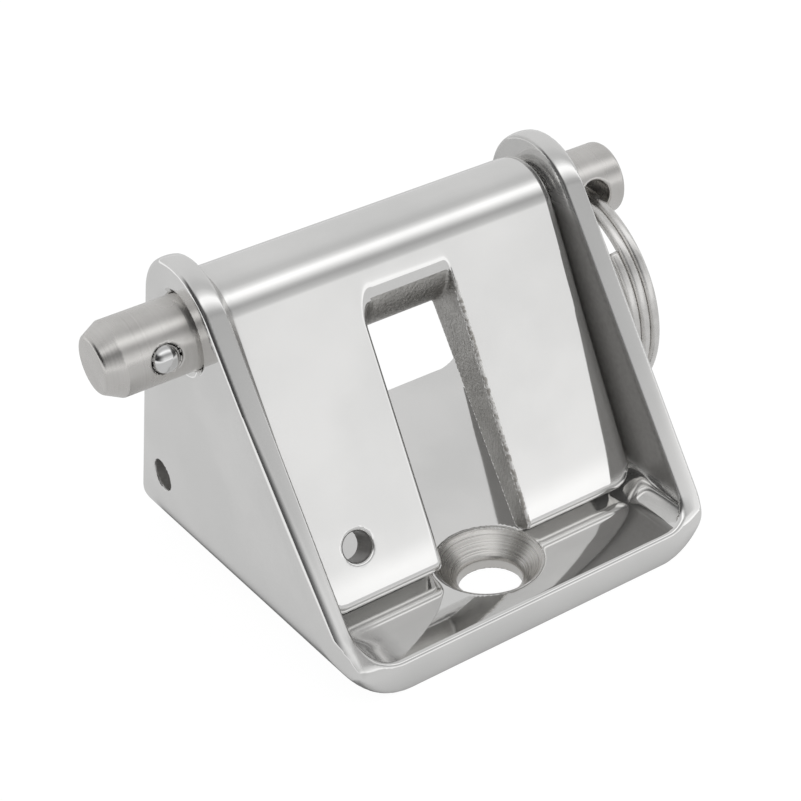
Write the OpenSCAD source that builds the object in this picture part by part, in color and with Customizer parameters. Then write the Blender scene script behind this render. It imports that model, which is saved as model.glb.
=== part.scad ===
// Anchor chain stopper: a U-shaped base with a hinged, slotted flap and a quick-release pin.
// Millimetres, +Z up. The origin is midway between the two deck screws, on the base's underside.
// The flap's sloped front faces -Y, and the pin runs along X with its tip at -X.

/* [Base] */
// Width over the two cheeks
base_w = 56.7; // [50:0.1:70]
// Length of the floor, front to back
base_len = 55; // [52:0.5:64]
// Thickness of the floor
floor_t = 4.7; // [4:0.1:5.5]
// Thickness of the cheeks
cheek_t = 3.2; // [2.8:0.1:4]
// Inside radius of the bends between floor and cheeks
bend_r = 3.2; // [2:0.1:5]
// Outside radius of the bends between floor and cheeks
bend_outer_r = 7.8; // [6:0.1:9]
// Height of the pin's axis above the underside
pin_height = 39.5; // [38:0.1:41]
// How far the pin's axis lies behind the middle of the floor
pin_setback = 5.5; // [0:0.5:8]
// Radius of each cheek's rounded nose
nose_r = 9.6; // [8.5:0.1:11]

/* [Deck screws] */
// Distance between the two countersunk holes
screw_spacing = 34; // [30:0.5:36]
// Diameter of each screw hole
screw_hole_d = 8.4; // [6:0.1:9]
// Diameter of each countersink at the floor's top face
screw_head_d = 14.4; // [13:0.1:15]
// Extra width of the eased rim round each countersink
screw_rim = 0.3; // [0.2:0.05:0.6]

/* [Lanyard holes] */
// Diameter of the lanyard hole in the left cheek
cheek_hole_d = 4.5; // [3:0.1:5]
// Height of the cheek's lanyard hole above the underside
cheek_hole_height = 11.5; // [11:0.1:14]
// Distance of the cheek's lanyard hole in front of the floor's back edge
cheek_hole_inset = 8.7; // [8.5:0.1:12]
// Diameter of the lanyard hole in the flap
flap_hole_d = 4; // [3:0.1:5]
// Distance of the flap's lanyard hole from the flap's left side
flap_hole_inset = 7.3; // [6:0.1:8]
// Distance of the flap's lanyard hole from the flap's lower end
flap_hole_rise = 7.5; // [7:0.1:10]

/* [Flap] */
// Radius of the barrel that turns on the pin
barrel_r = 7.1; // [7:0.1:8]
// Distance from the pin's axis to the flap's lower end
flap_len = 39.6; // [39:0.1:41]
// Thickness of the flap at its lower end
flap_tip_t = 4; // [3.5:0.1:5]
// Angle between the flap's front and back faces
flap_taper = 6.7; // [4:0.1:8]
// Width of the slot that straddles a chain link
slot_w = 13.4; // [11:0.1:16]
// Radius about the pin's axis of the slot's upper end
slot_top_r = 7.4; // [7.2:0.05:8.2]
// Gap between the flap and each cheek
flap_side_gap = 0.4; // [0.3:0.05:0.8]
// Gap between the flap's lower end and the floor
flap_rest_gap = 0.3; // [0.2:0.05:0.6]
// Rounding of the plate's front side edges
flap_side_round = 2.2; // [2:0.1:3]
// Rounding of the plate's lower front edge
flap_toe_round = 1.8; // [1:0.1:2]
// Rounding of the plate's lower back edge
flap_heel_round = 1; // [0.6:0.1:1.4]
// Rounding of the barrel's ends
barrel_end_round = 1.7; // [1.2:0.1:1.8]

/* [Pin] */
// Diameter of the pin
pin_d = 10; // [8:0.1:11]
// Radial clearance of the pin in the cheeks and the flap
pin_fit = 0.08; // [0.03:0.01:0.1]
// How far the tip stands out of the left cheek
pin_tip_reach = 12; // [10:0.1:16]
// How far the ring end stands out of the right cheek
pin_ring_reach = 9.2; // [8.5:0.1:14]
// Length of the tip's cone
tip_cone_len = 2.5; // [2:0.1:4]
// Radius of the tip's flat end
tip_face_r = 3.7; // [3:0.1:4]
// Rounding of the ring end
ring_end_round = 0.6; // [0.4:0.1:2]

/* [Detent] */
// Diameter of the two detent balls
ball_d = 4; // [3.4:0.1:4.2]
// How far each ball stands out of the pin
ball_proud = 0.9; // [0.6:0.05:1]
// Distance of the balls from the left cheek's outer face
ball_offset = 4.2; // [2.6:0.1:5]
// Radial clearance of the balls in their hole
ball_fit = 0.05; // [0.03:0.01:0.1]
// Wire diameter of the spring between the balls
spring_wire = 0.4; // [0.3:0.05:0.5]
// Turns of the spring
spring_turns = 4; // [3:1:5]

/* [Pull ring] */
// Outside diameter of the split ring
ring_d = 31.9; // [28:0.1:36]
// Wire diameter of the split ring
ring_wire = 1.5; // [1.2:0.05:1.6]
// Gap between the ring's turns
ring_turn_gap = 0.1; // [0.05:0.05:0.2]
// Diameter of the hole that the ring passes through
ring_hole_d = 4.8; // [4:0.05:5]
// Distance of that hole from the right cheek's outer face
ring_hole_offset = 4.2; // [4:0.1:6]
// Angle that the ring hangs out from the cheek
ring_tilt = 1.7; // [0:0.1:4]
// Direction of the wire's first end, from the bottom round by the back
ring_first_end = 226; // [220:1:300]
// Direction of the wire's last end, from the bottom round by the back
ring_last_end = 360; // [300:1:380]
// Direction where each turn starts to step over to the next
ring_step_at = 40; // [30:1:60]
// Length of each step along the ring, as an angle
ring_step_span = 40; // [30:1:60]

/* [Hidden] */

// Above 12, so every circle and cylinder is a true round
$fn = 64;
// Cuts run this far past the faces that they open
past = 1;

cheek_x = base_w / 2;
cheek_inner_x = cheek_x - cheek_t;
pin_r = pin_d / 2;
pin_bore_r = pin_r + pin_fit;
nose_top = pin_height + nose_r;

// Angle of the cheeks' front and back edges, which rise from the floor's top and touch the nose
front_reach = base_len / 2 + pin_setback;
back_reach = base_len / 2 - pin_setback;
nose_drop = pin_height - floor_t;
front_angle = atan2(nose_drop, front_reach) + asin(nose_r / norm([front_reach, nose_drop]));
back_angle = atan2(nose_drop, back_reach) + asin(nose_r / norm([back_reach, nose_drop]));

flap_w = 2 * (cheek_inner_x - flap_side_gap);
// The plate's front sits just inside the barrel's surface, so that the two cross at a clear line
plate_front = barrel_r - 0.05;
plate_back_at_end = plate_front - flap_tip_t;
plate_back_at_pin = plate_back_at_end - flap_len * tan(flap_taper);
// Centre of the rounded lower back edge, below the pin's axis and in front of it
heel_down = flap_len - flap_heel_round;
heel_front = plate_back_at_end + flap_heel_round * (1 - sin(flap_taper)) / cos(flap_taper);
// The flap leans until its lower back edge reaches the floor
floor_drop = pin_height - floor_t - flap_rest_gap - flap_heel_round;
flap_lean = atan2(heel_front, heel_down) + asin(floor_drop / norm([heel_down, heel_front]));

pin_left = -cheek_x - pin_tip_reach;
pin_right = cheek_x + pin_ring_reach;
ball_r = ball_d / 2;
ball_x = -cheek_x - ball_offset;
ball_out = pin_r + ball_proud - ball_r;
ball_bore_r = ball_r + ball_fit;
spring_r = ball_r - ball_fit - 1.25 * spring_wire;
// The spring's last turns lie against the balls
spring_half = ball_out - sqrt(pow(ball_r + spring_wire / 2 + ball_fit, 2) - pow(spring_r, 2));

ring_x = cheek_x + ring_hole_offset;
ring_r = (ring_d - ring_wire) / 2;
ring_pitch = ring_wire + ring_turn_gap;
// The second and third turns share the hole, and the first lies beside them
ring_first_x = -1.5 * ring_pitch;
// The ring hangs by the two turns in its hole, which lie just clear of the hole's lower side at both mouths
ring_arc_rise = ring_r - sqrt(pow(ring_r, 2) - pow(pin_r, 2));
ring_hang = sqrt(pow((ring_hole_d - ring_wire) / 2 - ring_turn_gap, 2) - pow(ring_pitch / 2, 2));
ring_centre_drop = ring_r - ring_arc_rise + ring_hang;

// A sketch drawn in Y and Z, carried along X over the given width
module along_x(width) {
    rotate([90, 0, 90])
        linear_extrude(width, center = true)
            children();
}

// A sketch drawn in X and Z, carried along Y over the given length
module along_y(length) {
    rotate([90, 0, 0])
        linear_extrude(length, center = true)
            children();
}

// A rectangle centred on the origin with four round corners
module round_rect(width, height, r) {
    square([width, height - 2 * r], center = true);
    square([width - 2 * r, height], center = true);
    for (x = [-1, 1], y = [-1, 1])
        translate([x * (width / 2 - r), y * (height / 2 - r)])
            circle(r);
}

// Cross-section of an upright trough with round lower corners, open at the top
module trough(half_width, bottom, r, top) {
    translate([-half_width, bottom + r])
        square([2 * half_width, top - bottom - r]);
    translate([r - half_width, bottom])
        square([2 * (half_width - r), top - bottom]);
    for (side = [-1, 1])
        translate([side * (half_width - r), bottom + r])
            circle(r);
}

// Side view of the cheeks: a triangle on the floor with a round nose about the pin
module cheek_outline() {
    translate([pin_setback, pin_height])
        circle(nose_r);
    polygon([
        [-base_len / 2, 0],
        [base_len / 2, 0],
        [base_len / 2, floor_t],
        [pin_setback + nose_r * sin(back_angle), pin_height + nose_r * cos(back_angle)],
        [pin_setback, pin_height],
        [pin_setback - nose_r * sin(front_angle), pin_height + nose_r * cos(front_angle)],
        [-base_len / 2, floor_t],
    ]);
}

// A countersunk screw hole through the floor, at the origin
module screw_hole() {
    sink = (screw_head_d - screw_hole_d) / 2 + past;
    ease = screw_rim / 2;
    translate([0, 0, -past])
        cylinder(h = floor_t + 2 * past, d = screw_hole_d);
    translate([0, 0, floor_t + past - sink])
        cylinder(h = sink, d1 = screw_hole_d, d2 = screw_head_d + 2 * past);
    translate([0, 0, floor_t - ease])
        cylinder(h = 2 * ease, d1 = screw_head_d - 2 * ease, d2 = screw_head_d + 4 * screw_rim + 2 * ease);
}

module base_channel() {
    color("silver")
    difference() {
        intersection() {
            along_y(base_len + 2 * past)
                difference() {
                    trough(cheek_x, 0, bend_outer_r, nose_top + past);
                    trough(cheek_inner_x, floor_t, bend_r, nose_top + 2 * past);
                }
            along_x(base_w + 2 * past)
                cheek_outline();
        }
        translate([0, pin_setback, pin_height])
            rotate([0, 90, 0])
                cylinder(h = base_w + 2 * past, r = pin_bore_r, center = true);
        for (end = [-1, 1])
            translate([0, end * screw_spacing / 2, 0])
                screw_hole();
        translate([-cheek_x - past, base_len / 2 - cheek_hole_inset, cheek_hole_height])
            rotate([0, 90, 0])
                cylinder(h = cheek_t + 2 * past, d = cheek_hole_d);
    }
}

// Side view of the flap's plate, hanging straight down from the pin's axis
module plate_side() {
    toe = flap_toe_round;
    heel = flap_heel_round;
    translate([toe - plate_front, toe - flap_len])
        circle(toe);
    translate([-heel_front, heel - flap_len])
        circle(heel);
    polygon([
        [-plate_front, 0],
        [-plate_front, toe - flap_len],
        [toe - plate_front, -flap_len],
        [-heel_front, -flap_len],
        [heel * cos(flap_taper) - heel_front, heel - flap_len - heel * sin(flap_taper)],
        [-plate_back_at_pin, 0],
    ]);
}

// The tapered plate, rounded along its sides, its lower corners and its lower end
module flap_plate() {
    intersection() {
        along_x(flap_w + 2 * past)
            plate_side();
        translate([0, barrel_r - plate_front, -flap_len - past])
            linear_extrude(flap_len + past)
                translate([0, -barrel_r + flap_len / 2])
                    round_rect(flap_w, flap_len, flap_side_round);
        along_y(4 * barrel_r)
            round_rect(flap_w, 2 * flap_len, bend_r + flap_side_gap);
    }
}

// The barrel that turns on the pin, with rounded ends
module flap_barrel() {
    rotate([0, 90, 0])
        rotate_extrude()
            intersection() {
                round_rect(2 * barrel_r, flap_w, barrel_end_round);
                translate([0, -flap_w / 2])
                    square([barrel_r, flap_w]);
            }
}

// The slot runs from the flap's lower end up to a round web about the pin
module flap_slot() {
    difference() {
        translate([-slot_w / 2, -2 * barrel_r, -flap_len - past])
            cube([slot_w, 4 * barrel_r, flap_len + past]);
        rotate([0, 90, 0])
            cylinder(h = slot_w + 2 * past, r = slot_top_r, center = true);
    }
}

module chain_flap() {
    color("gainsboro")
    translate([0, pin_setback, pin_height])
        rotate([flap_lean - 90, 0, 0])
            difference() {
                union() {
                    flap_plate();
                    flap_barrel();
                }
                rotate([0, 90, 0])
                    cylinder(h = flap_w + 2 * past, r = pin_bore_r, center = true);
                flap_slot();
                translate([flap_hole_inset - flap_w / 2, 0, flap_hole_rise - flap_len])
                    rotate([90, 0, 0])
                        cylinder(h = 4 * barrel_r, d = flap_hole_d, center = true);
            }
}

// Half outline of the pin: radius against length
module pin_outline() {
    polygon([
        [0, pin_left],
        [tip_face_r, pin_left],
        [pin_r, pin_left + tip_cone_len],
        [pin_r, pin_right - ring_end_round],
        [pin_r - ring_end_round, pin_right],
        [0, pin_right],
    ]);
    translate([pin_r - ring_end_round, pin_right - ring_end_round])
        circle(ring_end_round);
}

// The through hole for the balls: each seat keeps its ball in, and a shallow recess rings it
module ball_bore() {
    rotate([90, 0, 0])
        cylinder(h = 2 * ball_out, r = ball_bore_r + ball_fit, center = true);
    for (side = [-1, 1]) {
        translate([0, side * ball_out, 0])
            sphere(ball_bore_r);
        rotate([side * -90, 0, 0])
            translate([0, 0, ball_out + 0.35 * ball_r])
                cylinder(h = pin_r, r = ball_bore_r + ball_fit);
    }
}

// The cross hole for the pull ring, eased at both mouths
module ring_bore() {
    ease = 0.3;
    rotate([90, 0, 0])
        cylinder(h = pin_d + 2 * past, d = ring_hole_d, center = true);
    for (side = [-1, 1])
        rotate([side * -90, 0, 0])
            translate([0, 0, pin_r - ease])
                cylinder(h = 2 * ease, d1 = ring_hole_d, d2 = ring_hole_d + 4 * ease);
}

module release_pin() {
    color("lightgray")
    translate([0, pin_setback, pin_height])
        difference() {
            rotate([0, 90, 0])
                rotate_extrude()
                    pin_outline();
            translate([ball_x, 0, 0])
                ball_bore();
            translate([ring_x, 0, 0])
                ring_bore();
        }
}

module detent_ball(side) {
    color("white")
    translate([ball_x, pin_setback + side * ball_out, pin_height])
        sphere(ball_r);
}

module detent_ball_front() {
    detent_ball(-1);
}

module detent_ball_rear() {
    detent_ball(1);
}

// Points on the spring's wire: a helix about Y, with a ring of points round the wire at each step
function helix_point(turn, side, sides) =
    let (a = 360 * turn, b = 360 * side / sides, r = spring_r + spring_wire / 2 * cos(b))
    [r * cos(a), spring_half * (2 * turn / spring_turns - 1) + spring_wire / 2 * sin(b), r * sin(a)];

module detent_spring() {
    steps_per_turn = 16;
    sides = 8;
    steps = steps_per_turn * spring_turns;
    points = [
        for (i = [0:steps], j = [0:sides - 1])
            helix_point(i / steps_per_turn, j, sides),
    ];
    walls = [
        for (i = [0:steps - 1], j = [0:sides - 1])
            let (a = i * sides + j, b = i * sides + (j + 1) % sides)
            each [[a, b, b + sides], [a, b + sides, a + sides]],
    ];
    start_cap = [for (j = [sides - 1:-1:0]) j];
    end_cap = [for (j = [0:sides - 1]) steps * sides + j];
    color("darkgray")
    translate([ball_x, pin_setback, pin_height])
        polyhedron(points, concat([start_cap], walls, [end_cap]));
}

// A point on the ring's middle line, at an angle from the bottom round by the back
function ring_point(angle, x) = [x, ring_r * sin(angle), -ring_r * cos(angle)];

// A round bar from one point to another, with a joint ball at each end
module wire_link(from, to, r) {
    run = to - from;
    joint_r = 1.03 * r;
    translate(from)
        rotate([0, acos(run.z / norm(run)), atan2(run.y, run.x)])
            cylinder(h = norm(run), r = r);
    for (end = [from, to])
        translate(end)
            sphere(joint_r);
}

// One flat turn of the ring, from one direction to another
module ring_turn(x, from, to) {
    translate([x, 0, 0])
        rotate([0, 90, 0])
            rotate([0, 0, from])
                rotate_extrude(angle = to - from)
                    translate([ring_r, 0])
                        circle(d = ring_wire);
}

// The wire's step from a turn at the given place to the next turn
module ring_step(x) {
    links = 5;
    for (i = [0:links - 1]) {
        from = i / links;
        to = (i + 1) / links;
        wire_link(ring_point(ring_step_at + from * ring_step_span, x + from * ring_pitch),
                  ring_point(ring_step_at + to * ring_step_span, x + to * ring_pitch),
                  ring_wire / 2);
    }
}

// A split ring: flat turns side by side, joined where the wire steps from one to the next
module pull_ring() {
    step_end = ring_step_at + ring_step_span;
    second_x = ring_first_x + ring_pitch;
    color("lightgray")
    translate([ring_x, pin_setback, pin_height])
        rotate([0, -ring_tilt, 0])
            translate([0, 0, -ring_centre_drop]) {
                ring_turn(ring_first_x, ring_first_end, 360 + ring_step_at);
                ring_step(ring_first_x);
                ring_turn(second_x, step_end, 360 + ring_step_at);
                ring_step(second_x);
                ring_turn(second_x + ring_pitch, step_end, ring_last_end);
            }
}

base_channel();
chain_flap();
release_pin();
detent_ball_front();
detent_ball_rear();
detent_spring();
pull_ring();
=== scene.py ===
"""Looks of a polished stainless anchor chain stopper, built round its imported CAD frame."""

import math

import bmesh
import bpy
import numpy as np
from mathutils import Matrix, Vector


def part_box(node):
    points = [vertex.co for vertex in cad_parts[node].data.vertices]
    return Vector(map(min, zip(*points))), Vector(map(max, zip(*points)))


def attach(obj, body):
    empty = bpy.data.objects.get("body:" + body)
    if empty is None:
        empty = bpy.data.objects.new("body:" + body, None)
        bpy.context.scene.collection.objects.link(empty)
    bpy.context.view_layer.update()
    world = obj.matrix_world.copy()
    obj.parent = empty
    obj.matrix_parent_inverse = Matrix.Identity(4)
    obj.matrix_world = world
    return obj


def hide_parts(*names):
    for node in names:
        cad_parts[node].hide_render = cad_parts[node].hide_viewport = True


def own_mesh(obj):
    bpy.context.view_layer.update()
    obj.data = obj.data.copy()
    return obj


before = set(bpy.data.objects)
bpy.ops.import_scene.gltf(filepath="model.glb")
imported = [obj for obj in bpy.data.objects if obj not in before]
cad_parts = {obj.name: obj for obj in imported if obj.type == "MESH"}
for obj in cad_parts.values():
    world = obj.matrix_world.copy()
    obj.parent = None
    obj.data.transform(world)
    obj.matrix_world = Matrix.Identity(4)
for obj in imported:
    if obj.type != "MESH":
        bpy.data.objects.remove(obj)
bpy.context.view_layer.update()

MM = 0.001

# Distance in millimetres that stands for nowhere near the piece
FAR = 50.0

# Share of white light that each finish gives back, at its darkest and its lightest places
POLISHED_STEEL = (0.807, 0.805, 0.797, 1), (0.876, 0.872, 0.863, 1)
# The unpolished grey also gives the painted shade in the cheeks' inside faces, the lanyard holes and the left
# inner corner
DULL_AND_SHADE_STEEL = (0.25, 0.243, 0.235, 1), (0.38, 0.372, 0.36, 1)
# The rubbed edge's pale colour is partly a painted highlight along the slot's right edge
WORN_HIGHLIGHT_STEEL = (0.50, 0.48, 0.45, 1), (1, 0.99, 0.97, 1)
CAST_STEEL = (0.36, 0.352, 0.338, 1), (0.66, 0.65, 0.63, 1)
SINK_STEEL = (0.48, 0.468, 0.45, 1), (0.84, 0.825, 0.80, 1)
PIN_STEEL = (0.52, 0.507, 0.49, 1), (0.84, 0.826, 0.806, 1)
BALL_STEEL = (0.70, 0.70, 0.70, 1), (0.78, 0.78, 0.78, 1)
WIRE_STEEL = (0.66, 0.65, 0.635, 1), (0.90, 0.89, 0.875, 1)
WHITE = (1, 1, 1, 1)
CLOTH = (0.86, 0.86, 0.86, 1)


class Socket:
    """One output of a shader node. Arithmetic on it adds Math nodes to the same tree."""

    def __init__(self, tree, output):
        self.tree = tree
        self.output = output

    def out(self, name):
        """Another output of the same node."""
        return Socket(self.tree, self.output.node.outputs[name])

    def maths(self, operation, *values):
        """A Math node with this socket as its first value."""
        return add(self.tree, "Math", {"operation": operation}, dict(enumerate((self, *values))))

    def __add__(self, other):
        return self.maths("ADD", other)

    __radd__ = __add__

    def __sub__(self, other):
        return self.maths("SUBTRACT", other)

    def __rsub__(self, other):
        return add(self.tree, "Math", {"operation": "SUBTRACT"}, {0: other, 1: self})

    def __mul__(self, other):
        return self.maths("MULTIPLY", other)

    __rmul__ = __mul__

    def __truediv__(self, other):
        return self.maths("DIVIDE", other)


def add(tree, kind, settings=None, sockets=None):
    """Any shader node: its settings are set first, then its sockets are given values or links."""
    node = tree.nodes.new("ShaderNode" + kind)
    for name, value in (settings or {}).items():
        if name == "stops":
            set_stops(node.color_ramp, value)
        else:
            setattr(node, name, value)
    for name, value in (sockets or {}).items():
        if isinstance(value, Socket):
            tree.links.new(value.output, node.inputs[name])
        else:
            node.inputs[name].default_value = value
    return Socket(tree, next(o for o in node.outputs if o.enabled)) if node.outputs else node


def set_stops(ramp, stops):
    """A ramp of grey levels, each stop as (place, level)."""
    while len(ramp.elements) > 1:
        ramp.elements.remove(ramp.elements[-1])
    for i, (place, level) in enumerate(stops):
        element = ramp.elements[0] if i == 0 else ramp.elements.new(place)
        element.position = place
        element.color = (level, level, level, 1)


def new_material(name):
    """An empty node material and its tree."""
    material = bpy.data.materials.new(name)
    material.use_nodes = True
    material.node_tree.nodes.clear()
    return material, material.node_tree


def close(tree, sockets, constants=None):
    """A Principled shader on the material's output, with linked sockets and plain ones."""
    shader = add(tree, "BsdfPrincipled", {}, {**(constants or {}), **sockets})
    add(tree, "OutputMaterial", {}, {"Surface": shader})


def object_place(tree):
    """The surface point, in metres."""
    return add(tree, "TexCoord").out("Object")


def parts_of(tree, vector):
    """The three parts of a place or a direction."""
    parts = add(tree, "SeparateXYZ", {}, {0: vector})
    return parts.out("X"), parts.out("Y"), parts.out("Z")


def noise(tree, place, scale, detail=3.0, rough=0.5):
    """Smooth noise about 0.5 over the piece."""
    return add(tree, "TexNoise", {}, {"Vector": place, "Scale": scale, "Detail": detail, "Roughness": rough})


def grey_mix(tree, factor, low, high):
    """A colour between two, by a factor that changes over the surface."""
    mixed = add(tree, "Mix", {"data_type": "RGBA"}, {0: factor, 6: low, 7: high})
    return mixed.out(2)


def bump(tree, height, strength, distance):
    """A normal tilted by a height that changes over the surface."""
    return add(tree, "Bump", {}, {"Height": height, "Strength": strength, "Distance": distance})


def smooth_step(tree, value, start, end):
    """0 before the start and 1 after the end, with a smooth change between them."""
    return add(tree, "MapRange", {"interpolation_type": "SMOOTHSTEP"}, {0: value, 1: start, 2: end})


def band(tree, value, places):
    """0 outside the first and last of four places in millimetres, and 1 between the middle two."""
    start, full, fading, end = (place * MM for place in places)
    return smooth_step(tree, value, start, full) * smooth_step(tree, value, end, fading)


def polished(name, dull_and_shaded_part, worn_and_highlight_part=None):
    """Mirror-polished casting: clear reflections, faint clouds and the slow waves that hand polishing leaves.

    One function of the surface point gives the part that the polishing wheel doesn't reach: it stays rougher
    and is painted darker as shade.
    Another may give a rubbed edge, where the polish ends in fine specks painted bright as a highlight.
    """
    material, tree = new_material(name)
    place = object_place(tree)
    x, y, z = parts_of(tree, place)
    smears = noise(tree, place, 160.0, 4.0)
    waves = noise(tree, place, 45.0, 1.0)
    grain = noise(tree, place, 1500.0, 3.0)
    # Mask of the rougher places that also get painted shade
    dull_and_shaded = dull_and_shaded_part(tree, x, y, z)
    clouds = smooth_step(tree, 0.7 * waves + 0.3 * smears, 0.35, 0.65)
    bright = grey_mix(tree, clouds, *POLISHED_STEEL)
    grey = grey_mix(tree, grain, *DULL_AND_SHADE_STEEL)
    # Painted shade: those places take the darker grey
    colour = grey_mix(tree, dull_and_shaded, bright, grey)
    rough = 0.02 + 0.05 * smears + dull_and_shaded * (0.30 + 0.1 * grain)
    metallic = 0.92 - 0.5 * dull_and_shaded
    normal = bump(tree, waves, 0.25, 0.4 * MM)
    if worn_and_highlight_part:
        specks = smooth_step(tree, grain, 0.42, 0.58)
        # Painted highlight: the rubbed slot edge turns pale and less metallic, so it shows as a bright line
        worn_and_highlight = worn_and_highlight_part(tree, x, y, z, grain)
        colour = grey_mix(tree, worn_and_highlight, colour, grey_mix(tree, specks, *WORN_HIGHLIGHT_STEEL))
        rough = rough + worn_and_highlight * (0.25 + 0.1 * specks)
        metallic = metallic - 0.75 * worn_and_highlight
    close(tree, {"Base Color": colour, "Roughness": rough, "Metallic": metallic, "Normal": normal})
    return material


def in_hole(tree, across, along, centre, radius):
    """1 inside a round hole's wall and 0 outside its lip, from two coordinates across the hole's axis."""
    across = across - centre[0] * MM
    along = along - centre[1] * MM
    away = (across * across + along * along).maths("SQRT")
    return smooth_step(tree, away, (radius + 0.12) * MM, (radius + 0.03) * MM)


def base_rough_and_shaded(tree, x, y, z):
    """The cheeks' inside faces above the bends, the cheek's lanyard hole and, less strongly, the left inner
    corner: rougher, and painted darker as shade.
    """
    # Painted shade on the cheeks' inside faces, faded out towards the nose
    face = CHEEK_X - CHEEK
    inside = smooth_step(tree, x.maths("ABSOLUTE"), (face + 0.4) * MM, (face + 0.1) * MM)
    inside = inside * smooth_step(tree, z, (FLOOR + 2.0) * MM, (FLOOR + 4.5) * MM)
    inside = inside * (1.0 - 0.75 * smooth_step(tree, z, PIN_AT[1] * MM, (PIN_AT[1] + 5) * MM))
    # Painted shade in the left cheek's lanyard hole
    hole = in_hole(tree, y, z, CHEEK_HOLE_AT, CHEEK_HOLE_R) * x.maths("LESS_THAN", 0.0)
    # A lighter painted shade in the left inner corner, where the bend is rougher
    corner = band(tree, x, (-25.9, -25.3, -21, -18)) * band(tree, y, (-27.3, -26.5, -20, -17))
    corner = corner * smooth_step(tree, z, (FLOOR - 0.3) * MM, (FLOOR - 0.1) * MM)
    return inside.maths("MAXIMUM", hole).maths("MAXIMUM", 0.4 * corner)


def flap_hole_rough_and_shaded(tree, x, y, z):
    """The flap's lanyard hole, rougher and painted darker as shade."""
    down = flap_frame(y, z, MM)[0]
    # Painted shade on the hole's wall
    return in_hole(tree, x, down, FLAP_HOLE_AT, FLAP_HOLE_R)


def slot_edge(tree, x, y, z, grain):
    """The front edge on the right of the flap's slot, below the barrel, with an uneven outer bound: rubbed,
    and painted pale as a highlight.
    """
    down, out = flap_frame(y, z, MM)
    uneven = x + 0.3 * MM * (grain - 0.5)
    across = smooth_step(tree, uneven, (SLOT_SIDE + 0.4) * MM, (SLOT_SIDE + 0.25) * MM)
    across = across * x.maths("GREATER_THAN", 0.9 * SLOT_SIDE * MM)
    front = smooth_step(tree, out, (BARREL_R - 0.6) * MM, (BARREL_R - 0.4) * MM)
    return across * front * smooth_step(tree, down, 4 * MM, 7 * MM)


def cast_satin():
    """Inside of the slot: left as cast and tumbled, grey and grainy."""
    material, tree = new_material("cast_satin")
    place = object_place(tree)
    grain = noise(tree, place, 2200.0, 3.0, 0.6)
    patches = noise(tree, place, 300.0, 3.0)
    colour = grey_mix(tree, patches, *CAST_STEEL)
    normal = bump(tree, grain, 0.8, 0.2 * MM)
    close(tree, {"Base Color": colour, "Roughness": 0.24 + 0.22 * grain, "Normal": normal}, {"Metallic": 1.0})
    return material


def turned_sink():
    """Countersinks: fine rings left by the cutter about each screw's axis."""
    material, tree = new_material("turned_sink")
    x, y = parts_of(tree, object_place(tree))[:2]
    along = y.maths("ABSOLUTE") - SCREW_AT * MM
    radius = (x * x + along * along).maths("SQRT")
    rings = add(tree, "TexNoise", {"noise_dimensions": "1D"}, {"W": radius, "Scale": 5200.0, "Detail": 3.0})
    colour = grey_mix(tree, rings, *SINK_STEEL)
    normal = bump(tree, rings, 0.55, 0.05 * MM)
    close(tree, {"Base Color": colour, "Roughness": 0.2 + 0.16 * rings, "Normal": normal}, {"Metallic": 1.0})
    return material


def turned_pin():
    """Turned and brushed pin: fine lines round its axis over a satin grey."""
    material, tree = new_material("turned_pin")
    place = object_place(tree)
    x = parts_of(tree, place)[0]
    lines = add(tree, "TexNoise", {"noise_dimensions": "1D"}, {"W": x, "Scale": 4200.0, "Detail": 3.0})
    stains = noise(tree, place, 240.0, 4.0)
    colour = grey_mix(tree, 0.3 * lines + 0.7 * stains, *PIN_STEEL)
    normal = bump(tree, lines, 0.16, 0.05 * MM)
    close(tree, {"Base Color": colour, "Roughness": 0.2 + 0.14 * stains, "Normal": normal}, {"Metallic": 1.0})
    return material


def ground_ball():
    """Ground bearing ball: a clear grey mirror with faint smears."""
    material, tree = new_material("ground_ball")
    place = object_place(tree)
    smears = noise(tree, place, 500.0, 3.0)
    colour = grey_mix(tree, smears, *BALL_STEEL)
    close(tree, {"Base Color": colour, "Roughness": 0.1 + 0.04 * smears}, {"Metallic": 1.0})
    return material


def drawn_wire():
    """Drawn wire: satin, with faint marks."""
    material, tree = new_material("drawn_wire")
    place = object_place(tree)
    marks = noise(tree, place, 900.0, 4.0)
    colour = grey_mix(tree, marks, *WIRE_STEEL)
    normal = bump(tree, marks, 0.15, 0.05 * MM)
    close(tree, {"Base Color": colour, "Roughness": 0.2 + 0.14 * marks, "Normal": normal}, {"Metallic": 1.0})
    return material


def round_and(a, b, r):
    """Where both fields are below 0, with the edge between them rounded to radius r."""
    corner = np.hypot(np.maximum(a + r, 0), np.maximum(b + r, 0))
    return np.minimum(np.maximum(a, b), -r) + corner


def cut(solid, hole, r):
    """The solid without the hole, with the hole's rim rounded to radius r."""
    return round_and(solid, -hole, r)


def ease(share):
    """A share held between 0 and 1, with a smooth start and end."""
    share = np.clip(share, 0, 1)
    return share * share * (3 - 2 * share)


def slope_of(field, points, step=0.004):
    """The field's gradient at each point, by central differences."""
    parts = []
    for axis in range(3):
        shift = np.zeros(3)
        shift[axis] = step
        ahead = field(*(points + shift).T)
        behind = field(*(points - shift).T)
        parts.append((ahead - behind) / (2 * step))
    return np.stack(parts, 1)


def settle(field, points, rounds, reach):
    """Points moved down or up the gradient until the field is 0 there."""
    for _ in range(rounds):
        slope = slope_of(field, points)
        steep = np.maximum((slope ** 2).sum(1), 0.05)
        move = (field(*points.T) / steep)[:, None] * slope
        length = np.linalg.norm(move, axis=1)[:, None]
        points = points - move * np.minimum(1, reach / np.maximum(length, 1e-9))
    return points


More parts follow.
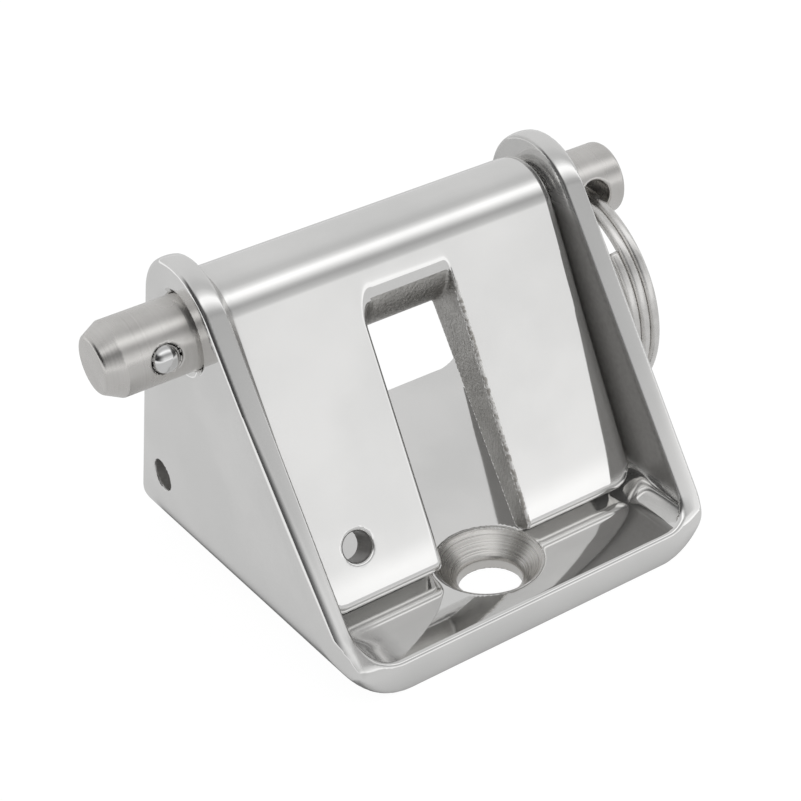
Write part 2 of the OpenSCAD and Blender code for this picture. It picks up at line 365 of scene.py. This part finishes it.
def surface_grid(field, low, high, cell):
    """Corners and quads of the surface where a field of x, y and z is 0, in millimetres.

    The field is worked out on a grid of cubes. Each cube that the surface crosses gets one corner,
    and each grid edge that it crosses gets one quad of the four cubes about it. The corners are then
    evened out and settled on the surface in turn.
    """
    # The uneven margin keeps the grid's planes off the piece's flat faces
    margin = 1.37 * cell
    axes = [np.arange(first - margin, last + 2 * cell, cell) for first, last in zip(low, high)]
    values = field(*np.meshgrid(*axes, indexing="ij"))
    inside = values < 0
    count = sum(inside[i:i - 1 or None, j:j - 1 or None, k:k - 1 or None].astype(np.int8)
                for i in (0, 1) for j in (0, 1) for k in (0, 1))
    mixed = (count > 0) & (count < 8)
    number = np.full(mixed.shape, -1, np.int64)
    number[mixed] = np.arange(mixed.sum())
    where = np.argwhere(mixed)
    points = np.stack([axes[i][where[:, i]] + cell / 2 for i in range(3)], 1)
    quads = []
    for axis in range(3):
        turned = np.moveaxis(inside, axis, 0)
        cubes = np.moveaxis(number, axis, 0)
        leaving = turned[:-1] & ~turned[1:]
        entering = ~turned[:-1] & turned[1:]
        ring = np.stack([cubes[:, :-1, :-1], cubes[:, 1:, :-1], cubes[:, 1:, 1:], cubes[:, :-1, 1:]], -1)
        if axis == 1:
            leaving, entering = entering, leaving
        quads.append(ring[leaving[:, 1:-1, 1:-1]])
        quads.append(ring[entering[:, 1:-1, 1:-1]][:, ::-1])
    quads = np.concatenate(quads)
    points = settle(field, points, 4, cell)
    shares = np.bincount(quads.ravel(), minlength=len(points))[:, None]
    for _ in range(4):
        middles = points[quads].mean(1)
        parts = [np.bincount(quads.ravel(), np.repeat(part, 4), len(points)) for part in middles.T]
        points = settle(field, 0.4 * points + 0.6 * np.stack(parts, 1) / shares, 2, cell)
    return settle(field, points, 2, cell), quads


def mesh_piece(name, points, quads, normals=None):
    """A smooth mesh object from corners in millimetres, with the surface's own normals where known."""
    mesh = bpy.data.meshes.new(name)
    mesh.from_pydata(points * MM, [], quads)
    mesh.polygons.foreach_set("use_smooth", np.ones(len(quads), bool))
    if normals is not None:
        mesh.normals_split_custom_set_from_vertices(normals)
    mesh.update()
    piece = bpy.data.objects.new(name, mesh)
    bpy.context.scene.collection.objects.link(piece)
    return piece


def solid_piece(name, field, low, high, cell):
    """The closed surface of a field, with normals along the field's gradient."""
    points, quads = surface_grid(field, low, high, cell)
    slope = slope_of(field, points)
    return mesh_piece(name, points, quads, slope / np.linalg.norm(slope, axis=1)[:, None])


def strip_quads(rows, columns):
    """Quads between neighbouring rows of a grid that closes on itself along each row."""
    number = np.arange(rows * columns).reshape(rows, columns)
    here, there = number[:-1], number[1:]
    return np.stack([here, np.roll(here, -1, 1), np.roll(there, -1, 1), there], -1).reshape(-1, 4)


def grid_piece(name, grid, material):
    """A closed surface from rows of points: each row is a ring, and the first and last are one point each."""
    piece = mesh_piece(name, grid.reshape(-1, 3), strip_quads(*grid.shape[:2]))
    shell = bmesh.new()
    shell.from_mesh(piece.data)
    bmesh.ops.remove_doubles(shell, verts=shell.verts, dist=0.0001 * MM)
    shell.to_mesh(piece.data)
    shell.free()
    piece.data.materials.append(material)
    return piece


def paint_faces(piece, materials, chooser):
    """Gives each face one of the materials, by a function of its middle in millimetres."""
    for material in materials:
        piece.data.materials.append(material)
    middles = np.empty(3 * len(piece.data.polygons))
    piece.data.polygons.foreach_get("center", middles)
    chosen = chooser(*(middles.reshape(-1, 3).T / MM))
    piece.data.polygons.foreach_set("material_index", chosen.astype(np.int32))


def dress(piece, body, slot, *nodes):
    """The piece rides on a body and stands for CAD nodes."""
    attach(piece, body)
    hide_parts(*nodes)


# Base
CHEEK_X = 28.35
BASE_HALF = 27.5
FLOOR = 4.7
CHEEK = 3.2
BEND = 3.2
LEFT_BEND_GROWTH = 2.2
BEND_OUTER = 7.8
BEND_SPREAD = 0.055
RIM_CROWN = 0.3
FLOOR_ROLL = 0.25
NOSE_R = 9.6
BORE_CHAMFER = 0.9
PIN_AT = (5.5, 39.5)
BORE_R = 5.08
SCREW_AT = 17.0
SCREW_R = 4.2
SINK_R = 7.2
CHEEK_HOLE_AT = (18.8, 11.5)
CHEEK_HOLE_R = 2.25
PLATE_EDGE = 0.5
FOOT_EDGE = 0.8
LEFT_EDGE = 0.2
LEFT_EDGE_GROWTH = 2.4
RIGHT_EDGE = 0.1
BORE_LIP = 0.2
SINK_LIP = 0.35
CHEEK_HOLE_LIP = 0.3
BASE_CELL = 0.38


def tangent_angle(reach, drop):
    """Steepness of the line from a point to the nose's round top that just touches it."""
    return math.atan2(drop, reach) + math.asin(NOSE_R / math.hypot(reach, drop))


FRONT_LEAN = tangent_angle(BASE_HALF + PIN_AT[0], PIN_AT[1] - FLOOR)
BACK_LEAN = tangent_angle(BASE_HALF - PIN_AT[0], PIN_AT[1] - FLOOR)


def trough(x, z, half_width, bottom, r):
    """Distance outside an upright trough with round lower corners, open at the top."""
    side = np.abs(x) - (half_width - r)
    drop = bottom + r - z
    return np.hypot(np.maximum(side, 0), np.maximum(drop, 0)) + np.minimum(np.maximum(side, drop), 0) - r


def screw_sink(x, y, z):
    """A screw hole that opens upwards into a 90 degree cone, up to just above the floor, at both screws.

    The edge between the hole and its cone is rounded.
    """
    away = np.hypot(x, np.abs(y) - SCREW_AT)
    cone = (away - SINK_R - (z - FLOOR)) / math.sqrt(2)
    return np.maximum(-round_and(SCREW_R - away, -cone, SINK_LIP), z - FLOOR - 2)


def base_field(x, y, z):
    """A bent plate: an outer trough less an inner one, with a thicker floor than cheeks.
    The left bend is ground rounder towards the front, inside and out, and the floor rolls off at the front.

    It is cut to the cheeks' side view, which is bounded by a front slope and a back slope that both
    touch the round nose about the pin, and by an upright front and back below. The cheeks' rims are
    crowned, and the left one's outer edge is rounder low down in front. Then the holes are cut.
    """
    outer = trough(x, z, CHEEK_X, 0, BEND_OUTER - BEND_SPREAD * np.where(x < 0, y, 0))
    inner_bend = BEND + np.where(x < 0, LEFT_BEND_GROWTH * ease((-19 - y) / 5), 0)
    floor = FLOOR - FLOOR_ROLL * np.clip((-21.5 - y) / 6, 0, 1) ** 2
    inner = trough(x, z, CHEEK_X - CHEEK, floor, inner_bend)
    crown = ((outer + inner) / np.minimum(outer - inner, -1)) ** 2
    v, w = y - PIN_AT[0], z - PIN_AT[1]
    away = np.hypot(v, w)
    front = w * math.cos(FRONT_LEAN) - v * math.sin(FRONT_LEAN)
    back = w * math.cos(BACK_LEAN) + v * math.sin(BACK_LEAN)
    turn = np.arctan2(v, w)
    over_nose = (turn > -FRONT_LEAN) & (turn < BACK_LEAN)
    outline = np.where(over_nose, away, np.maximum(front, back)) - NOSE_R
    outline = round_and(outline, np.abs(y) - BASE_HALF, FOOT_EDGE)
    upright = ease((np.abs(x) - 20.5) / 6)
    outline = outline + RIM_CROWN * upright * np.minimum(crown, 1.5)
    low_front = np.clip((34 - z) / 26, 0, 1) * np.clip((8 - y) / 12, 0, 1) * ease((z - 0.5) / 6.5)
    edge = PLATE_EDGE + upright * np.where(x < 0, LEFT_EDGE + LEFT_EDGE_GROWTH * low_front, RIGHT_EDGE)
    solid = round_and(round_and(outer, outline, edge), -inner, PLATE_EDGE)
    chamfer = (away - BORE_R - BORE_CHAMFER + CHEEK_X - np.abs(x)) / math.sqrt(2)
    solid = cut(solid, np.minimum(away - BORE_R, chamfer), BORE_LIP)
    solid = cut(solid, screw_sink(x, y, z), SINK_LIP)
    lanyard = np.hypot(y - CHEEK_HOLE_AT[0], z - CHEEK_HOLE_AT[1]) - CHEEK_HOLE_R
    return cut(solid, np.where(x < 0, lanyard, FAR), CHEEK_HOLE_LIP)


def base_finish(x, y, z):
    """Countersinks are turned, and all the rest is polished."""
    away = np.hypot(x, np.abs(y) - SCREW_AT)
    return (away < SINK_R + 0.05) & (z < FLOOR - 0.02) & (z > 0.05)


base_low = (-CHEEK_X, -BASE_HALF, 0)
base_high = (CHEEK_X, BASE_HALF, PIN_AT[1] + NOSE_R)
base = solid_piece("base_polished", base_field, base_low, base_high, BASE_CELL)
paint_faces(base, [polished("polished_base", base_rough_and_shaded), turned_sink()], base_finish)
dress(base, "base", "polished_stainless", "base_channel")


# Flap
BARREL_R = 7.1
FLAP_HALF = 24.75
FLAP_LEN = 39.6
FLAP_TIP = 4.0
TAPER = math.radians(6.7)
FLAP_LEAN = math.radians(65.527)
SLOT_SIDE = 6.7
SLOT_TOP_R = 7.4
FLAP_HOLE_AT = (-17.45, 32.1)
FLAP_HOLE_R = 2.0
TOE_ROLL = 0.2
TOE_FROM = 33.0
BARREL_EDGE = 1.7
SIDE_EDGE_GROWTH = 0.3
TOE_EDGE_LOSS = 0.9
BACK_EDGE = 0.9
TOE_CORNER_R = 3.6
FLAP_BORE_LIP = 0.3
FLAP_HOLE_LIP = 0.55
FLAP_CELL = 0.33


def flap_frame(y, z, unit=1):
    """A point's way down the flap from the pin's axis, and its height out of the flap's front.

    The unit is the length of a millimetre: 1 for arrays in millimetres, or MM for a shader's metres.
    """
    v, w = y - PIN_AT[0] * unit, z - PIN_AT[1] * unit
    down = -math.cos(FLAP_LEAN) * v - math.sin(FLAP_LEAN) * w
    out = math.cos(FLAP_LEAN) * w - math.sin(FLAP_LEAN) * v
    return down, out


def flap_field(x, y, z):
    """A round barrel joined to a plate that tapers down to its end, with rounded sides and corners.

    A slot runs up from the end to a round web about the pin. The pin's bore and a lanyard hole go through.
    """
    down, out = flap_frame(y, z)
    away = np.hypot(down, out)
    side = np.abs(x) - FLAP_HALF
    barrel = round_and(away - BARREL_R, side, BARREL_EDGE)
    back_out = BARREL_R - FLAP_TIP - (FLAP_LEN - down) * math.tan(TAPER)
    corner = round_and(side, down - FLAP_LEN, TOE_CORNER_R)
    edge = BARREL_EDGE + SIDE_EDGE_GROWTH * np.clip((down - 6) / 10, 0, 1)
    edge = edge - TOE_EDGE_LOSS * np.clip((down - 35.5) / 3.5, 0, 1)
    roll = TOE_ROLL * np.clip((down - TOE_FROM) / (FLAP_LEN - TOE_FROM), 0, 1) ** 2
    plate = round_and(corner, out - BARREL_R + roll, edge)
    plate = round_and(plate, (back_out - out) * math.cos(TAPER), BACK_EDGE)
    solid = np.minimum(barrel, np.maximum(plate, -down))
    leftward = np.clip(0.5 - x / 10, 0, 1)
    slot = round_and(np.abs(x) - SLOT_SIDE, SLOT_TOP_R - away, 0.5 + 1.7 * leftward)
    solid = cut(solid, np.where(down > 0, slot, FAR), 0.4 + 0.5 * leftward)
    solid = cut(solid, away - BORE_R, FLAP_BORE_LIP)
    lanyard = np.hypot(x - FLAP_HOLE_AT[0], down - FLAP_HOLE_AT[1]) - FLAP_HOLE_R
    return cut(solid, lanyard, FLAP_HOLE_LIP)


def flap_finish(x, y, z):
    """Slot walls are as cast, and all the rest is polished."""
    down, out = flap_frame(y, z)
    below_web = (np.hypot(down, out) > SLOT_TOP_R - 0.05) & (down > 3)
    return (np.abs(x) < SLOT_SIDE + 0.02) & below_web & (out < BARREL_R - 0.6)


flap_low = (-FLAP_HALF, -19, FLOOR)
flap_high = (FLAP_HALF, 13, 46.7)
flap = solid_piece("flap_polished", flap_field, flap_low, flap_high, FLAP_CELL)
paint_faces(flap, [polished("polished_flap", flap_hole_rough_and_shaded, slot_edge), cast_satin()], flap_finish)
dress(flap, "flap", "polished_stainless", "chain_flap")


# Pin
PIN_RADIUS = 5.0
TIP_X = -40.35
CONE_X = -37.85
TIP_R = 3.7
RING_END_X = 37.55
BALL_X = -32.55
BALL_OUT = 3.9
BALL_R = 2.0
SEAT_R = 2.1
SEAT_END_R = 2.05
RECESS_AT = 0.7
SEAT_LIP = 0.25
TIP_EDGE = 0.4
RING_END_EDGE = 0.6
RING_HOLE_LIP = 0.4
RING_X = 32.55
RING_HOLE_R = 2.4
PIN_CELL = 0.24


def pin_field(x, y, z):
    """A round bar with a cone at its tip and a rounded ring end, bored across for the balls and the ring."""
    v, w = y - PIN_AT[0], z - PIN_AT[1]
    away = np.hypot(v, w)
    rise, run = PIN_RADIUS - TIP_R, CONE_X - TIP_X
    cone = ((away - PIN_RADIUS) * run - (x - CONE_X) * rise) / math.hypot(rise, run)
    solid = round_and(away - PIN_RADIUS, x - RING_END_X, RING_END_EDGE)
    solid = np.maximum(solid, cone)
    solid = round_and(solid, TIP_X - x, TIP_EDGE)
    across = np.hypot(x - BALL_X, w)
    deep = np.abs(v) - BALL_OUT
    seat = np.minimum(np.maximum(across - SEAT_R, deep), np.hypot(across, deep) - SEAT_END_R)
    recess = np.maximum(across - SEAT_R, RECESS_AT - deep)
    solid = cut(solid, np.minimum(seat, recess), SEAT_LIP)
    return cut(solid, np.hypot(x - RING_X, w) - RING_HOLE_R, RING_HOLE_LIP)


pin_low = (TIP_X, PIN_AT[0] - PIN_RADIUS, PIN_AT[1] - PIN_RADIUS)
pin_high = (RING_END_X, PIN_AT[0] + PIN_RADIUS, PIN_AT[1] + PIN_RADIUS)
pin = solid_piece("pin_turned", pin_field, pin_low, pin_high, PIN_CELL)
pin.data.materials.append(turned_pin())
dress(pin, "pin", "turned_stainless", "release_pin")


# Balls and spring
BALL_ROWS = 33
BALL_COLUMNS = 64
SPRING_WIRE = 0.4
SPRING_TURNS = 4
SPRING_STEPS = 48
SPRING_SIDES = 16
BALL_PRESS = 1.25


def ball_piece(name, side, material):
    """A sphere on a grid of turns about the pin's cross bore and angles from its outer pole."""
    turn = np.linspace(0, 2 * math.pi, BALL_COLUMNS, endpoint=False)
    pole = np.linspace(0, math.pi, BALL_ROWS)
    pole, turn = np.meshgrid(pole, turn, indexing="ij")
    wide = np.sin(pole)
    ball = BALL_R * np.stack([wide * np.cos(turn), side * np.cos(pole), side * wide * np.sin(turn)], -1)
    ball += np.array([BALL_X, PIN_AT[0] + side * BALL_OUT, PIN_AT[1]])
    return grid_piece(name, ball, material)


def spring_piece(material):
    """A round wire carried along a helix about the pin's cross bore, closed flat at both ends.

    The helix fills the CAD spring's box. Half its length is given back with it.
    """
    low, high = (np.array(corner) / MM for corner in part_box("detent_spring"))
    coil_r, half = (high - low)[:2] / 2 - SPRING_WIRE / 2
    turn = np.linspace(0, SPRING_TURNS, SPRING_STEPS * SPRING_TURNS + 1)
    turn = np.concatenate([turn[:1], turn, turn[-1:]])[:, None]
    thick = np.full(turn.shape, SPRING_WIRE / 2)
    thick[[0, -1]] = 0
    around = np.linspace(0, 2 * math.pi, SPRING_SIDES, endpoint=False)
    radius = coil_r + thick * np.cos(around)
    along = half * (2 * turn / SPRING_TURNS - 1) + thick * np.sin(around)
    angle = 2 * math.pi * turn
    points = np.stack([radius * np.cos(angle), along, radius * np.sin(angle)], -1)
    points += np.array([BALL_X, PIN_AT[0], PIN_AT[1]])
    return grid_piece("spring_wire", points, material), half


ground = ground_ball()
dress(ball_piece("ball_front", -1, ground), "ball_front", "ball_steel", "detent_ball_front")
dress(ball_piece("ball_rear", 1, ground), "ball_rear", "ball_steel", "detent_ball_rear")
wire = drawn_wire()
spring, spring_half = spring_piece(wire)
dress(spring, "pin", "wire_steel", "detent_spring")
1 - BALL_PRESS / spring_half
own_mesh(spring)


# Ring
RING_R = 15.2
RING_WIRE = 0.75
RING_PITCH = 1.6
RING_FIRST_END = 226.0
RING_TILT = math.radians(1.7)
RING_LAST_END = 1080.0
RING_STEP_AT = 400.0
RING_STEP_SPAN = 40.0
RING_STEPS = 480
RING_SIDES = 24


def ring_piece(material):
    """A round wire carried along flat turns side by side, which step over to the next turn once per round.

    The wire's section turns with the coil. Its ends are cut square and closed.
    """
    hang = math.sqrt((RING_HOLE_R - RING_WIRE - 0.1) ** 2 - (RING_PITCH / 2) ** 2)
    drop = math.sqrt(RING_R ** 2 - PIN_RADIUS ** 2) + hang
    downwards = np.array([math.sin(RING_TILT), 0, -math.cos(RING_TILT)])
    sideways = np.array([math.cos(RING_TILT), 0, math.sin(RING_TILT)])
    centre = np.array([RING_X, PIN_AT[0], PIN_AT[1]]) + drop * downwards
    turn = np.linspace(RING_FIRST_END, RING_LAST_END, RING_STEPS)
    ends = np.array([0.0, 0.75, 0.93])
    turn = np.concatenate([np.repeat(turn[0], 3), turn, np.repeat(turn[-1], 3)])
    thick = RING_WIRE * np.concatenate([ends, np.ones(RING_STEPS), ends[::-1]])
    steps = ease((turn[:, None] - RING_STEP_AT - np.array([0, 360])) / RING_STEP_SPAN)
    across = RING_PITCH * (steps.sum(1) - 1.5)
    angle = np.radians(turn)
    outward = np.sin(angle)[:, None] * np.array([0, 1.0, 0]) + np.cos(angle)[:, None] * downwards
    path = centre + RING_R * outward + across[:, None] * sideways
    # Points go round the wire backwards, so that its faces point outwards
    round_by = np.linspace(0, -2 * math.pi, RING_SIDES, endpoint=False)
    section = np.cos(round_by)[None, :, None] * outward[:, None] + np.sin(round_by)[None, :, None] * sideways
    points = path[:, None] + thick[:, None, None] * section
    return grid_piece("ring_wire", points, material)


ring = ring_piece(wire)
dress(ring, "ring", "wire_steel", "pull_ring")


# Studio: a white table and a white room with a strip light overhead and a soft panel in front
ROOM_LEVELS = [
    (0.0, 0.80), (0.025, 0.84), (0.045, 0.68), (0.07, 0.64), (0.105, 0.62), (0.14, 0.44),
    (0.17, 0.37), (0.215, 0.30), (0.245, 0.36), (0.29, 0.62), (0.33, 0.86), (0.365, 0.90),
    (0.41, 0.60), (0.455, 0.43), (0.50, 0.41), (0.60, 0.48), (0.70, 0.50), (1.0, 0.50),
]
ROOM_STRENGTH = 1.38
TABLE_TO_CAMERA = 1.07
TABLE_IN_STEEL = 0.66
CONTACT_SHADE = 0.24
CONTACT_REACH = 1.8
FAR_LEFT_GLOW = 0.4
CAMERA_AT = (-0.11306, -0.19051, 0.15762)
CAMERA_TURN = (-30.448, -31.656, -5.176)
CAMERA_LENS = 88.63


def studio_world():
    """A room whose brightness changes with a direction's angle about the pin's axis, dim low at the left.

    The angle is 0 at the front horizon, 0.5 overhead and 1 at the back. The camera sees plain white.
    """
    world = bpy.data.worlds.new("studio")
    world.use_nodes = True
    tree = world.node_tree
    tree.nodes.clear()
    direction = add(tree, "TexCoord").out("Generated")
    x, y, z = parts_of(tree, direction)
    turn = z.maths("ARCTAN2", 0.0 - y) / math.pi
    ramp = add(tree, "ValToRGB", {"stops": ROOM_LEVELS}, {0: turn})
    around = (0.0 - x).maths("ARCTAN2", 0.0 - y) / math.pi
    leftward = smooth_step(tree, around, 0.07, 0.38) * smooth_step(tree, around, 0.74, 0.62)
    low = smooth_step(tree, z, 0.8, 0.5)
    dim = 1.0 - 0.93 * leftward * low
    room = add(tree, "Background", {}, {"Color": ramp.out("Color"), "Strength": ROOM_STRENGTH * dim})
    plain = add(tree, "Background", {}, {"Color": WHITE, "Strength": 1.0})
    seen = add(tree, "LightPath").out("Is Camera Ray")
    mixed = add(tree, "MixShader", {}, {0: seen, 1: room, 2: plain})
    add(tree, "OutputWorld", {}, {"Surface": mixed})
    bpy.context.scene.world = world


def white_table():
    """A white table: white to the camera, softer in the steel, with the object's soft shadow kept.

    In the steel it is darker near the base and under it, apart from the screw holes, and brighter far left.
    """
    material, tree = new_material("white_table")
    path = add(tree, "LightPath")
    mirrored = path.out("Is Glossy Ray").maths("MAXIMUM", path.out("Is Transmission Ray"))
    shown = path.maths("MAXIMUM", mirrored)
    cloth = add(tree, "BsdfDiffuse", {}, {"Color": CLOTH})
    bright = add(tree, "Emission", {}, {"Color": WHITE, "Strength": TABLE_TO_CAMERA})
    x, y = parts_of(tree, object_place(tree))[:2]
    beside = x.maths("ABSOLUTE") - CHEEK_X * MM
    before = y.maths("ABSOLUTE") - BASE_HALF * MM
    away = beside.maths("MAXIMUM", before)
    screw_y = y.maths("ABSOLUTE") - SCREW_AT * MM
    from_screw = (x * x + screw_y * screw_y).maths("SQRT")
    shade = (away / (-CONTACT_REACH * MM)).maths("EXPONENT").maths("MINIMUM", 2.0)
    shade = shade * smooth_step(tree, from_screw, 5 * MM, 9 * MM)
    far_left = smooth_step(tree, x, -130 * MM, -220 * MM)
    strength = TABLE_IN_STEEL - CONTACT_SHADE * shade + FAR_LEFT_GLOW * far_left
    soft = add(tree, "Emission", {}, {"Color": WHITE, "Strength": strength})
    glow = add(tree, "MixShader", {}, {0: mirrored, 1: bright, 2: soft})
    mixed = add(tree, "MixShader", {}, {0: 0.9 * shown, 1: cloth, 2: glow})
    add(tree, "OutputMaterial", {}, {"Surface": mixed})
    bpy.ops.mesh.primitive_plane_add(size=6)
    table = bpy.context.object
    table.name = "white_table"
    table.data.materials.append(material)


def photo_camera():
    """A long lens looking down on the flap from its front left."""
    yaw, pitch, roll = (math.radians(a) for a in CAMERA_TURN)
    ahead = Vector((-math.sin(yaw) * math.cos(pitch), math.cos(yaw) * math.cos(pitch), math.sin(pitch)))
    level = Vector((math.cos(yaw), math.sin(yaw), 0))
    top = level.cross(ahead)
    right = math.cos(roll) * level + math.sin(roll) * top
    up = math.cos(roll) * top - math.sin(roll) * level
    data = bpy.data.cameras.new("photo_camera")
    data.sensor_width = 36
    data.lens = CAMERA_LENS
    data.clip_start = 0.01
    camera = bpy.data.objects.new("photo_camera", data)
    turn = Matrix((right, up, -ahead)).transposed().to_4x4()
    camera.matrix_world = Matrix.Translation(CAMERA_AT) @ turn
    bpy.context.scene.collection.objects.link(camera)
    bpy.context.scene.camera = camera


studio_world()
white_table()
photo_camera()
bpy.context.scene.view_settings.view_transform = "Standard"
